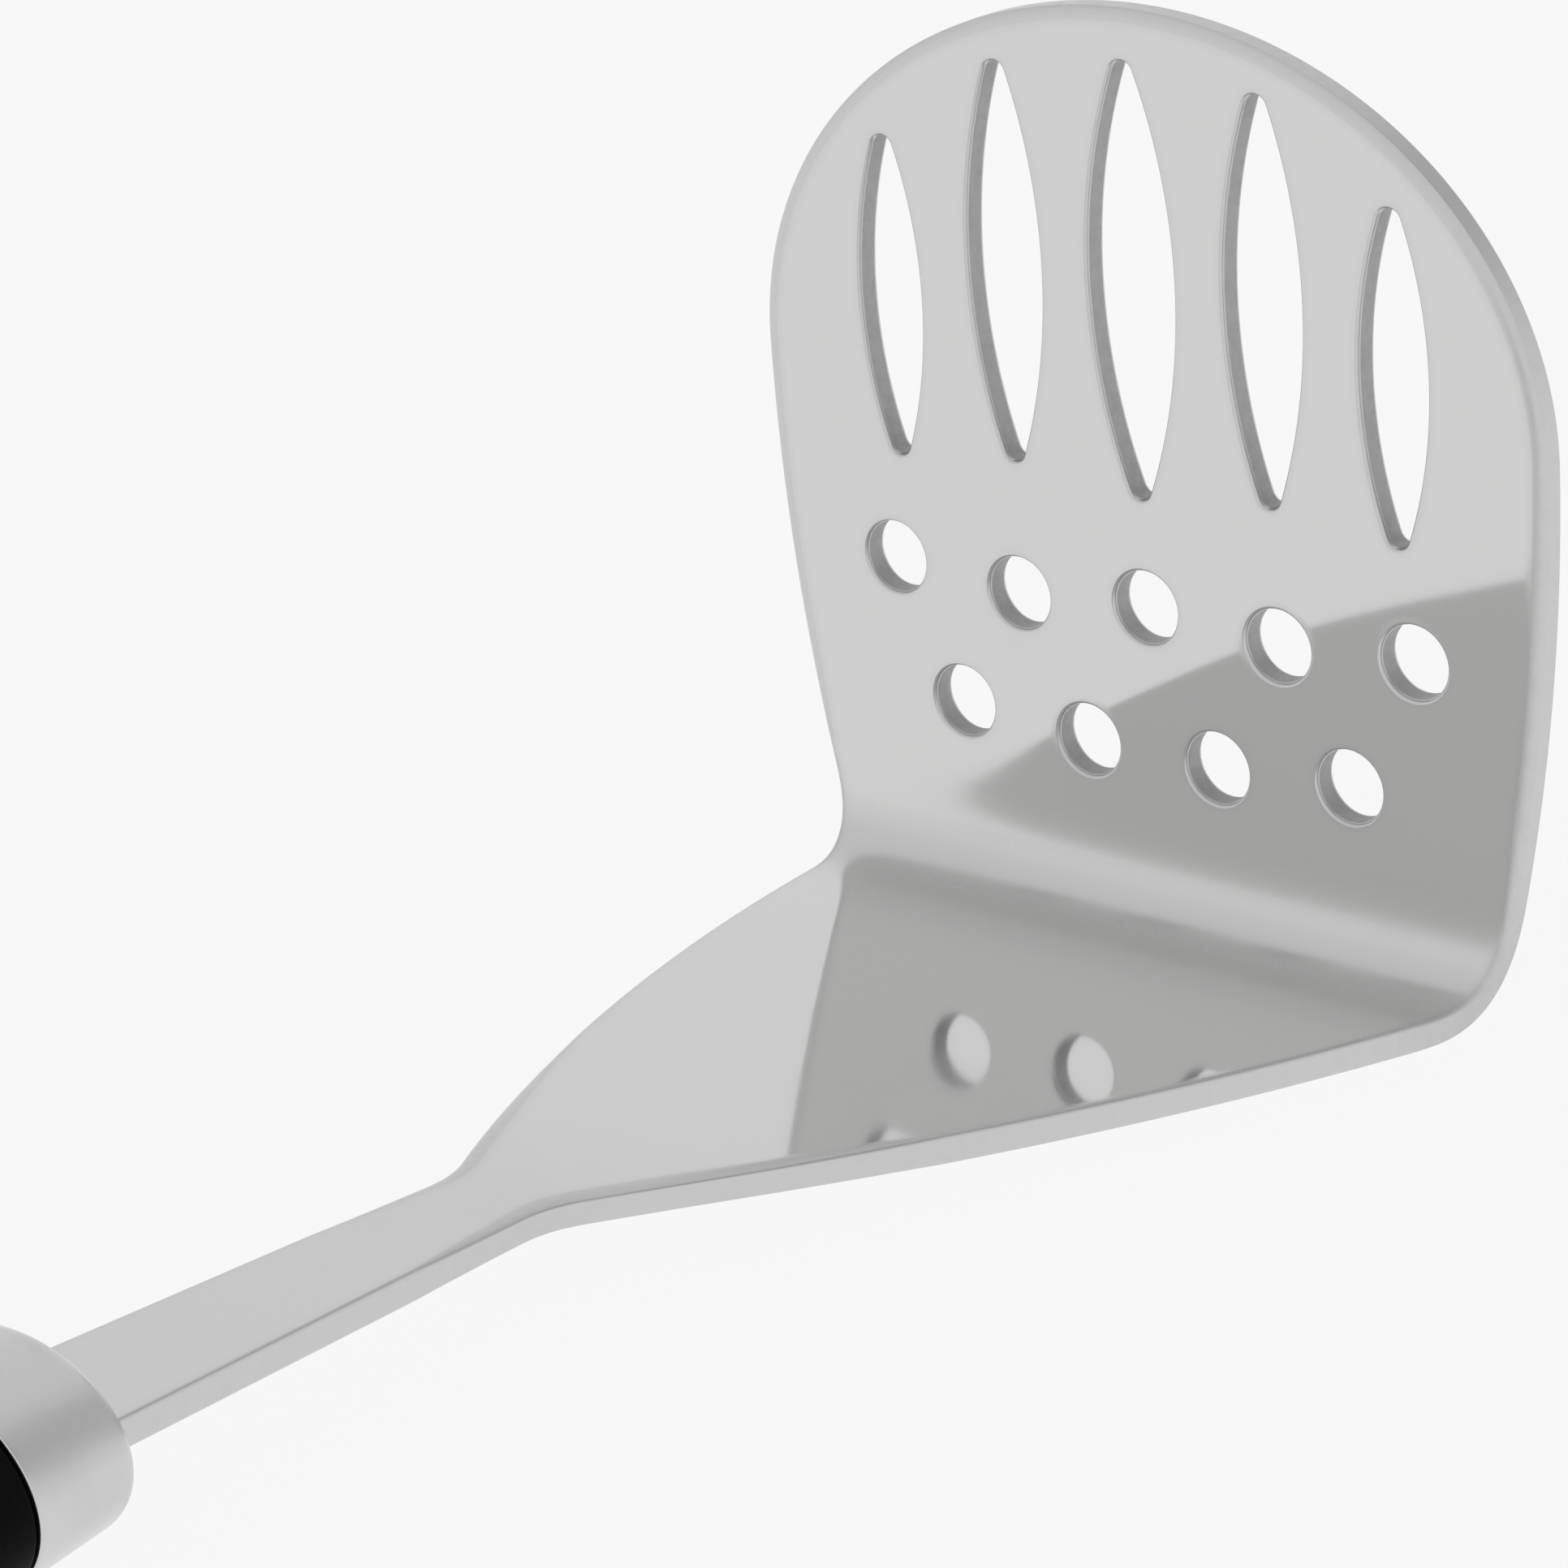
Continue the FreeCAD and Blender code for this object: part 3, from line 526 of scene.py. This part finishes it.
def mesh_object(name, verts, faces, normals=None, marks=None):
    """A smooth mesh. Where normals are given, each face is turned to look the way they do."""
    mesh = bpy.data.meshes.new(name)
    if normals is not None:
        v, n = np.array(verts), np.array(normals)
        for k, f in enumerate(faces):
            a, b, c = v[f[0]], v[f[1]], v[f[2]]
            looks = np.cross(b - a, c - a) @ n[f].sum(axis=0)
            faces[k] = f if looks > 0 else f[::-1]
    mesh.from_pydata(verts, [], faces)
    mesh.validate()
    mesh.polygons.foreach_set("use_smooth", [True] * len(mesh.polygons))
    if marks is not None:
        for mark, values in marks.items():
            mesh.attributes.new(mark, "FLOAT", "POINT").data.foreach_set("value", values)
    if normals is not None:
        mesh.normals_split_custom_set_from_vertices(normals)
    obj = bpy.data.objects.new(name, mesh)
    bpy.context.scene.collection.objects.link(obj)
    return obj


stamping = build_blade()
blade = mesh_object("blade", stamping.verts, stamping.faces, stamping.normals, stamping.marks)
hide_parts("masher_blade")
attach(blade, "root")
print("blade:", len(blade.data.vertices), "vertices,", len(blade.data.polygons), "faces")

# %% [markdown]
# ## Pieces of the handle
#
# The ferrule, the grip and its cap are ovals, wider than they are high. Each could be turned on a
# lathe and then flattened, which is how they are drawn here: a list of rings from one end to the
# other, each an ellipse. The record states the middle of the hanging eye and the direction of its
# hole, which gives the handle's axis. Stations are counted along it from the bend's corner.

# %% The handle's axis and its rings
OVAL = 1.53                      # width over height
GRIP_START = FERRULE_START + 11.8 * MM
GRIP_END = GRIP_START + 92 * MM
CAP_END = GRIP_END + 24 * MM
EYE_STATION = CAP_END - 13 * MM
EYE = Vector(MOUNTS["hanging_eye"]["pos_m"])
HANDLE_UP = Vector(MOUNTS["hanging_eye"]["axis"]).normalized()
HANDLE_BACK = Vector((-HANDLE_UP.z, 0, HANDLE_UP.x))
AROUND = 144                     # points in each ring
NEARLY_ZERO = 1e-9


def on_handle(station, y, z):
    """A place beside the handle's axis."""
    return EYE + HANDLE_BACK * (station - EYE_STATION) + Vector((0, y, 0)) + HANDLE_UP * z


def oval_ring(station, half_width, half_height=None):
    high = half_width / OVAL if half_height is None else half_height
    return [on_handle(station, half_width * math.cos(math.tau * i / AROUND),
                      high * math.sin(math.tau * i / AROUND)) for i in range(AROUND)]


def rounded_box_ring(station, half_width, half_height, radius, drop):
    """A slot's outline with the same number of points as an oval, at matching angles."""
    points = []
    for i in range(AROUND):
        a = math.tau * i / AROUND
        c, s = math.cos(a), math.sin(a)
        y = math.copysign(half_width - radius, c) + radius * c
        z = math.copysign(half_height - radius, s) + radius * s
        if abs(c) < NEARLY_ZERO:
            y = 0.0
        if abs(s) < NEARLY_ZERO:
            z = 0.0
        points.append(on_handle(station, y, z - drop))
    return points


def skin(name, rings, closed=False):
    """A mesh from rings of equal length; closed joins the last to the first, without end faces."""
    verts = [tuple(p) for ring_points in rings for p in ring_points]
    size, faces = len(rings[0]), []
    spans = len(rings) if closed else len(rings) - 1
    for r in range(spans):
        a, b = r * size, ((r + 1) % len(rings)) * size
        for i in range(size):
            j = (i + 1) % size
            faces.append([a + i, b + i, b + j, a + j])
    if not closed:
        faces.append(list(range(size)))
        faces.append([len(verts) - size + i for i in reversed(range(size))])
    return mesh_object(name, verts, faces)


print("handle runs from station", round(GRIP_START / MM, 1), "to", round(CAP_END / MM, 1))

# %% [markdown]
# ## The ferrule
#
# A ferrule is a thin steel collar that closes the joint between the strap and the grip. This one
# is drawn from sheet: a flat nose with a slot for the strap, a rounded shoulder, a slight flare
# and a mouth with its outer edge rounded. Its rings start inside the slot, run out over the nose
# and along the collar, turn in at the mouth and come back inside, so the wall has its real
# thickness.

# %% Make the ferrule
NOSE_HALF, COLLAR_HALF, MOUTH_HALF = 10.8 * MM, 12.8 * MM, 14.3 * MM
SHOULDER = FERRULE_START + 1.7 * MM
WALL = 0.8 * MM
HANDLE_RISE = 0.15 * MM          # the handle's axis above the middle of the strap
SLOT_GAP, SLOT_LIP, SLOT_CORNER = 0.06 * MM, 0.12 * MM, 0.5 * MM
LIP_ROUND = 0.2 * MM             # rounding of the mouth's outer edge


def ferrule_profile():
    """(station, half width) from the rim of the flat nose to the mouth."""
    start, shoulder = (FERRULE_START, NOSE_HALF), (SHOULDER, COLLAR_HALF)
    mouth = (GRIP_START, MOUTH_HALF)
    flare = np.subtract(shoulder, mouth)
    middle = tangent_middle(shoulder, tuple(flare / np.hypot(*flare)), start)
    return chained(arc_points(start, middle, shoulder, 0.3 * MM),
                   line_points(shoulder, mouth, 0.8 * MM))


def make_ferrule():
    slot_w, slot_h = STRAP_END_HALF + SLOT_GAP, SHEET / 2 + SLOT_GAP
    rings = []
    for share in (1.0, 0.5, 0.15, 0.0):
        rings.append(rounded_box_ring(FERRULE_START + share * WALL, slot_w, slot_h,
                                      SLOT_CORNER, HANDLE_RISE))
    rings.append(rounded_box_ring(FERRULE_START, slot_w + SLOT_LIP, slot_h + SLOT_LIP,
                                  SLOT_CORNER + SLOT_LIP, HANDLE_RISE))
    outer = ferrule_profile()
    for station, half in outer:
        if station < GRIP_START - LIP_ROUND:
            rings.append(oval_ring(station, half))
    for a in QUARTER:
        inset = LIP_ROUND * (1 - math.cos(a))
        rings.append(oval_ring(GRIP_START - LIP_ROUND * (1 - math.sin(a)), MOUTH_HALF - inset,
                               MOUTH_HALF / OVAL - inset))
    rings.append(oval_ring(GRIP_START, MOUTH_HALF - WALL, MOUTH_HALF / OVAL - WALL))
    for station, half in reversed(outer):
        if FERRULE_START + WALL < station < GRIP_START - WALL:
            rings.append(oval_ring(station, half - WALL, half / OVAL - WALL))
    rings.append(oval_ring(FERRULE_START + WALL, NOSE_HALF - WALL, NOSE_HALF / OVAL - WALL))
    return skin("ferrule_shell", rings, closed=True)


ferrule = make_ferrule()
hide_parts("ferrule")
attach(ferrule, "root")
print("ferrule:", len(ferrule.data.vertices), "vertices")

# %% [markdown]
# ## The grip
#
# The grip is a soft black sleeve moulded over a stiff core. It swells a little in the middle, and
# both of its ends are rounded over, which leaves a fine dark joint against the ferrule and
# against the cap.

# %% Make the grip
GRIP_HALF, TAIL_HALF = 16.6 * MM, 15.0 * MM
SLEEVE_WALL = 2.3 * MM
FRONT_ROUND, JOINT_ROUND = 0.9 * MM, 0.6 * MM


def eased_end(station, half, radius, way):
    """Rings that round an end over, from the end face outwards; way is -1 at a front end."""
    rings = []
    for a in QUARTER:
        inset = radius * (1 - math.sin(a))
        rings.append(oval_ring(station - way * radius * (1 - math.cos(a)), half - inset,
                               half / OVAL - inset))
    return rings


def make_sleeve():
    outer = arc_points((GRIP_START, MOUTH_HALF), ((GRIP_START + GRIP_END) / 2, GRIP_HALF),
                       (GRIP_END, TAIL_HALF), 1.5 * MM)
    bore = [(MOUTH_HALF - SLEEVE_WALL, GRIP_START), (TAIL_HALF - SLEEVE_WALL, GRIP_END)]
    front, tail = [oval_ring(station, half, half / OVAL) for half, station in bore]
    middle = [oval_ring(station, half) for station, half in outer
              if GRIP_START + FRONT_ROUND < station < GRIP_END - JOINT_ROUND]
    rings = [front] + eased_end(GRIP_START, MOUTH_HALF, FRONT_ROUND, -1) + middle
    rings += eased_end(GRIP_END, TAIL_HALF, JOINT_ROUND, 1)[::-1] + [tail]
    return skin("grip", rings, closed=True)


grip = make_sleeve()
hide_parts("grip_sleeve")
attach(grip, "root")
print("grip:", len(grip.data.vertices), "vertices")

# %% [markdown]
# ## The end cap
#
# The cap is a harder black plastic. It carries the grip's line on and closes in a round end. The
# eye to hang the masher by is meant to be cut with a bobbin: a bar that flares at both ends, so
# that the hole's edges come out rounded. This is an open fault: as it stands, the cut leaves the
# cap whole, and the eye is missing. The likely cause is that the rings of the cap and of the
# bobbin don't settle which way their faces look.

# %% Make the cap
CAP_HALF, CAP_ROUND = 13.6 * MM, 8 * MM
EYE_RADIUS, EYE_FLARE = 4 * MM, 1.3 * MM
BOBBIN_LONG = 1.5                # its half length, over the grip's half height
BOBBIN_FLARES = 3                # how many flares wider its ends are than the eye
BOBBIN_RISE = 0.5 * MM           # its flare starts this far outside the cap's end
BOBBIN_POINTS = 72
SHARP_FROM = math.radians(40)    # edges sharper than this stay edges


def cap_profile():
    start, corner = (GRIP_END, TAIL_HALF), (CAP_END, CAP_HALF)
    before = np.subtract(start, corner)
    before = before / np.hypot(*before)
    down = np.array([0.0, -1.0])
    half = math.acos(float(before @ down)) / 2
    reach = CAP_ROUND / math.tan(half)
    away = before + down
    middle = corner + away / np.hypot(*away) * (CAP_ROUND / math.sin(half) - CAP_ROUND)
    p, q = corner + before * reach, corner + down * reach
    return chained(line_points(start, tuple(p), 1.2 * MM),
                   arc_points(tuple(p), tuple(middle), tuple(q), 0.6 * MM),
                   line_points(tuple(q), (CAP_END, 0.5 * MM), 0.9 * MM))


def make_bobbin():
    """The cutter for the eye."""
    surface = CAP_HALF / OVAL + BOBBIN_RISE
    heights = [-GRIP_HALF / OVAL * BOBBIN_LONG]
    radii = [EYE_RADIUS + EYE_FLARE * BOBBIN_FLARES]
    for a in QUARTER:
        heights.append(-surface + EYE_FLARE * math.sin(a))
        radii.append(EYE_RADIUS + EYE_FLARE * (1 - math.sin(a)))
    heights += [-h for h in reversed(heights)]
    radii += list(reversed(radii))
    turns = [math.tau * i / BOBBIN_POINTS for i in range(BOBBIN_POINTS)]
    rings = [[on_handle(EYE_STATION + r * math.sin(a), r * math.cos(a), h) for a in turns]
             for h, r in zip(heights, radii)]
    return skin("bobbin", rings)


def make_cap():
    rings = eased_end(GRIP_END, TAIL_HALF, JOINT_ROUND, -1)
    rings += [oval_ring(station, half) for station, half in cap_profile()[1:]]
    body = skin("cap", rings)
    bobbin = make_bobbin()
    cut = body.modifiers.new("eye", "BOOLEAN")
    cut.object, cut.operation, cut.solver = bobbin, "DIFFERENCE", "EXACT"
    bpy.context.view_layer.update()
    evaluated = body.evaluated_get(bpy.context.evaluated_depsgraph_get())
    drilled = bpy.data.meshes.new_from_object(evaluated)
    body.modifiers.clear()
    body.data = drilled
    bpy.data.objects.remove(bobbin)
    drilled.set_sharp_from_angle(angle=SHARP_FROM)
    return body


cap = make_cap()
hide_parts("end_cap")
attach(cap, "root")
print("cap:", len(cap.data.vertices), "vertices")

# %% [markdown]
# ## Finishes
#
# A finish is a small network of nodes. Two short classes keep it readable. `Wire` is one
# output that can be used in sums as a number can. `Finish` owns the material and makes every
# other node through one method.

# %% Two helpers for finishes
class Wire:
    """An output of a node. A sum, a product or a number less a wire adds a Math node."""

    def __init__(self, finish, socket):
        self.finish, self.socket = finish, socket

    def maths(self, operation, a, b):
        return self.finish.node("ShaderNodeMath", {"operation": operation}, {0: a, 1: b})

    def __add__(self, other):
        return self.maths("ADD", self, other)

    def __rsub__(self, other):
        return self.maths("SUBTRACT", other, self)

    def __mul__(self, other):
        return self.maths("MULTIPLY", self, other)

    __radd__ = __add__


MIX_FACTOR, MIX_A, MIX_B, MIX_RESULT = 0, 6, 7, 2   # the colour sockets of a Mix node


class Finish:
    """A material or a world, with one method that makes any node."""

    def __init__(self, owner):
        owner.use_nodes = True
        self.owner, self.tree = owner, owner.node_tree
        self.tree.nodes.clear()

    def node(self, kind, settings, sockets, output=0):
        made = self.tree.nodes.new(kind)
        for name, value in settings.items():
            setattr(made, name, value)
        for name, value in sockets.items():
            if isinstance(value, Wire):
                self.tree.links.new(value.socket, made.inputs[name])
            else:
                made.inputs[name].default_value = value
        return Wire(self, made.outputs[output]) if made.outputs else made

    def noise(self, place, scale, detail, rough=0.5):
        return self.node("ShaderNodeTexNoise", {}, {"Vector": place, "Scale": scale,
                                                    "Detail": detail, "Roughness": rough}, "Fac")

    def step(self, value, low, high):
        """0 below low, 1 above high, smooth between."""
        return self.node("ShaderNodeMapRange", {"interpolation_type": "SMOOTHSTEP"},
                         {"Value": value, "From Min": low, "From Max": high}, "Result")

    def tint(self, factor, a, b):
        a, b = [c if isinstance(c, Wire) else (*c, 1) for c in (a, b)]
        return self.node("ShaderNodeMix", {"data_type": "RGBA"},
                         {MIX_FACTOR: factor, MIX_A: a, MIX_B: b}, MIX_RESULT)

    def stretched(self, place, factors):
        return self.node("ShaderNodeVectorMath", {"operation": "MULTIPLY"}, {0: place, 1: factors})

    def place(self, kind="Object"):
        return self.node("ShaderNodeTexCoord", {}, {}, kind)

    def facing(self, way, direction, wide, narrow):
        """1 within narrow degrees of a direction, 0 beyond wide degrees, smooth between."""
        x, y, z = Vector(direction).normalized()
        near = self.node("ShaderNodeVectorMath", {"operation": "DOT_PRODUCT"},
                         {0: way, 1: (x, y, z)}, "Value")
        return self.step(near, math.cos(math.radians(wide)), math.cos(math.radians(narrow)))

    def mark(self, name):
        return self.node("ShaderNodeAttribute", {"attribute_name": name}, {}, "Fac")

    def bump(self, height, distance, normal=None):
        sockets = {"Height": height, "Distance": distance, "Strength": 1.0}
        if normal is not None:
            sockets["Normal"] = normal
        return self.node("ShaderNodeBump", {}, sockets)

    def surface(self, sockets):
        shader = self.node("ShaderNodeBsdfPrincipled", {}, sockets, "BSDF")
        self.node("ShaderNodeOutputMaterial", {}, {"Surface": shader})
        return self.owner


print("helpers ready")

# %% [markdown]
# ## Polished steel
#
# A mirror polish is still not a perfect mirror. Rolled sheet keeps a slow waviness, the wheel
# leaves hairlines, and fingers leave smudges that are a touch rougher. The blade's marks say what
# differs from place to place: rims are less glossy and darkened by painted shade, punched walls
# are raw steel darkened further by painted shade, and the bend is rougher, with fine streaks from
# the press. Steel's own colour is a neutral grey that gives back about two thirds of the light.

# %% Polished steel for the blade
POLISHED, SMUDGED = (0.66, 0.66, 0.656), (0.635, 0.635, 0.632)
# the rims' darker grey is painted shade; the punched walls' dark grey is raw steel with painted
# shade on top
SHADED_RIM, RAW_AND_SHADED = (0.56, 0.56, 0.557), (0.42, 0.42, 0.42)


def polished_steel():
    f = Finish(bpy.data.materials.new("polished_steel"))
    place, rim, punched, bend = f.place(), f.mark("rim"), f.mark("punched"), f.mark("bend")
    smudge = f.step(f.noise(place, 38, 4, 0.6), 0.5, 0.75)
    hairline = f.noise(f.stretched(place, (900, 5200, 900)), 1.0, 2)
    drawn = f.noise(f.stretched(place, (1600, 60, 1600)), 1.0, 2)
    wear = f.step(f.noise(place, 900, 3, 0.6) * rim, 0.35, 0.75)
    wave = f.noise(place, 70, 1)
    shade = f.tint(smudge * 0.5 + wear * 0.5, POLISHED, SMUDGED)
    # painted shade: rims and edge walls are darkened, standing in for the darker light they give
    # back
    shade = f.tint(rim * 0.55, shade, SHADED_RIM)
    # punched walls: raw sheared steel, darkened further by painted shade for the hollow of each
    # opening
    shade = f.tint(punched * (0.7 + drawn * 0.3), shade, RAW_AND_SHADED)
    rough = 0.045 + smudge * 0.03 + hairline * 0.02 + wear * 0.08
    rough = rough + bend * 0.24 + punched * 0.3 + rim * 0.25
    normal = f.bump(hairline, 2e-7, f.bump(wave, 1.2e-5))
    normal = f.bump(drawn * bend, 1.5e-6, normal)
    return f.surface({"Base Color": shade, "Metallic": 1.0, "Roughness": rough, "Normal": normal})


blade.data.materials.append(polished_steel())

# %% [markdown]
# ## Satin steel
#
# The ferrule was polished more softly: fine rings run round it, so its reflections are blurred
# along its length.

# %% Satin steel for the ferrule
def satin_steel(name, base, rough):
    f = Finish(bpy.data.materials.new(name))
    place = f.place()
    rings = f.noise(f.stretched(place, (7000, 300, 300)), 1.0, 2)
    smudge = f.step(f.noise(place, 90, 3), 0.45, 0.7)
    shade = f.tint(smudge, base, tuple(0.95 * c for c in base))
    return f.surface({"Base Color": shade, "Metallic": 1.0,
                      "Roughness": rough + smudge * 0.05 + rings * 0.05,
                      "Normal": f.bump(rings, 2e-7)})


ferrule.data.materials.append(satin_steel("satin_steel", (0.64, 0.64, 0.636), 0.24))
pins = frame["nodes"]["tang_pins"]
pins.data.materials.clear()
pins.data.materials.append(satin_steel("pin_steel", (0.6, 0.6, 0.6), 0.3))

# %% [markdown]
# ## Black handle
#
# Moulded black pieces are not one flat black. The mould leaves a fine grain, handling polishes
# the high spots, and dust greys it slightly. The sleeve is softer and duller than the cap.

# %% Moulded blacks for the sleeve, the cap and the core
def moulded_black(name, dark, dusty, rough, gloss, grain_size, grain_depth):
    f = Finish(bpy.data.materials.new(name))
    place = f.place()
    grain = f.noise(place, 1 / grain_size, 3, 0.55)
    cloud = f.noise(place, 45, 3)
    dust = f.step(cloud, 0.45, 0.75)
    speck = f.step(f.noise(place, 2600, 1), 0.72, 0.8)
    return f.surface({"Base Color": f.tint(dust * 0.6 + speck * 0.3, (dark,) * 3, (dusty,) * 3),
                      "Roughness": rough + dust * 0.1 + grain * 0.06,
                      "Specular IOR Level": gloss, "Normal": f.bump(grain, grain_depth)})


core = frame["nodes"]["grip_core"]
BLACKS = [(grip, "black_grip", 0.002, 0.004, 0.5, 0.04, 0.5 * MM, 3e-5),
          (cap, "black_plastic", 0.004, 0.008, 0.4, 0.09, 0.35 * MM, 1.2e-5),
          (core, "core_plastic", 0.03, 0.05, 0.5, 0.3, 0.4 * MM, 1e-5)]
for piece, *finish in BLACKS:
    piece.data.materials.clear()
    piece.data.materials.append(moulded_black(*finish))

# %% [markdown]
# ## Table, light and camera
#
# The tool lies on a plain white light table in a white tent, so that polished steel has little
# to mirror but white and itself. Nearly all of the table's white is its own glow, which keeps
# shadows faint. The tent isn't even: two patches of it and its roof give less light, and the
# steel shows them as soft grey smears.

# %% Light table
def glowing_white(name, glow, shade):
    f = Finish(bpy.data.materials.new(name))
    return f.surface({"Base Color": (shade, shade, shade, 1), "Roughness": 0.9,
                      "Specular IOR Level": 0.0,
                      "Emission Color": (1, 1, 1, 1), "Emission Strength": glow})


TABLE_HALF = 6.0
TABLE_GLOW, TABLE_SHADE = 0.92, 0.02
corners = [(x * TABLE_HALF, y * TABLE_HALF, 0) for x, y in ((-1, -1), (1, -1), (1, 1), (-1, 1))]
table_top = mesh_object("table_top", corners, [[0, 1, 2, 3]])
table_top.data.materials.append(glowing_white("light_table", TABLE_GLOW, TABLE_SHADE))

# %% White tent
TENT_GLOW = 0.86
tent = Finish(bpy.data.worlds.new("tent"))
looking = tent.place("Generated")
gap_in_tent = tent.facing(looking, (0.35, -0.5, 0.8), 30, 8)
roof = tent.facing(looking, (0, 0.2, 1), 75, 20)
far_side = tent.facing(looking, (0.85, -0.27, 0.45), 26, 6)
glow = (1 - gap_in_tent * 0.45) * (1 - far_side * 0.3) * (1 - roof * 0.12) * TENT_GLOW
light = tent.node("ShaderNodeBackground", {}, {"Color": (1, 1, 1, 1), "Strength": glow})
tent.node("ShaderNodeOutputWorld", {}, {"Surface": light})
bpy.context.scene.world = tent.owner
bpy.context.scene.view_settings.view_transform = "Standard"

# %% Camera
camera = bpy.data.objects.new("camera", bpy.data.cameras.new("camera"))
bpy.context.scene.collection.objects.link(camera)
CAMERA_AT = Vector((-251.5, -287.6, 193.4)) * MM
CAMERA_RIGHT = Vector((0.6402, -0.7669, -0.0460)).normalized()
CAMERA_AHEAD = Vector((0.7109, 0.6140, -0.3428)).normalized()
CAMERA_UP = CAMERA_RIGHT.cross(CAMERA_AHEAD)
turn = Matrix((CAMERA_RIGHT, CAMERA_UP, -CAMERA_AHEAD)).transposed()
camera.matrix_world = Matrix.Translation(CAMERA_AT) @ turn.to_4x4()
camera.data.lens, camera.data.sensor_width = 123.8, 36.0
camera.data.clip_start, camera.data.clip_end = 0.01, 50.0
bpy.context.scene.camera = camera
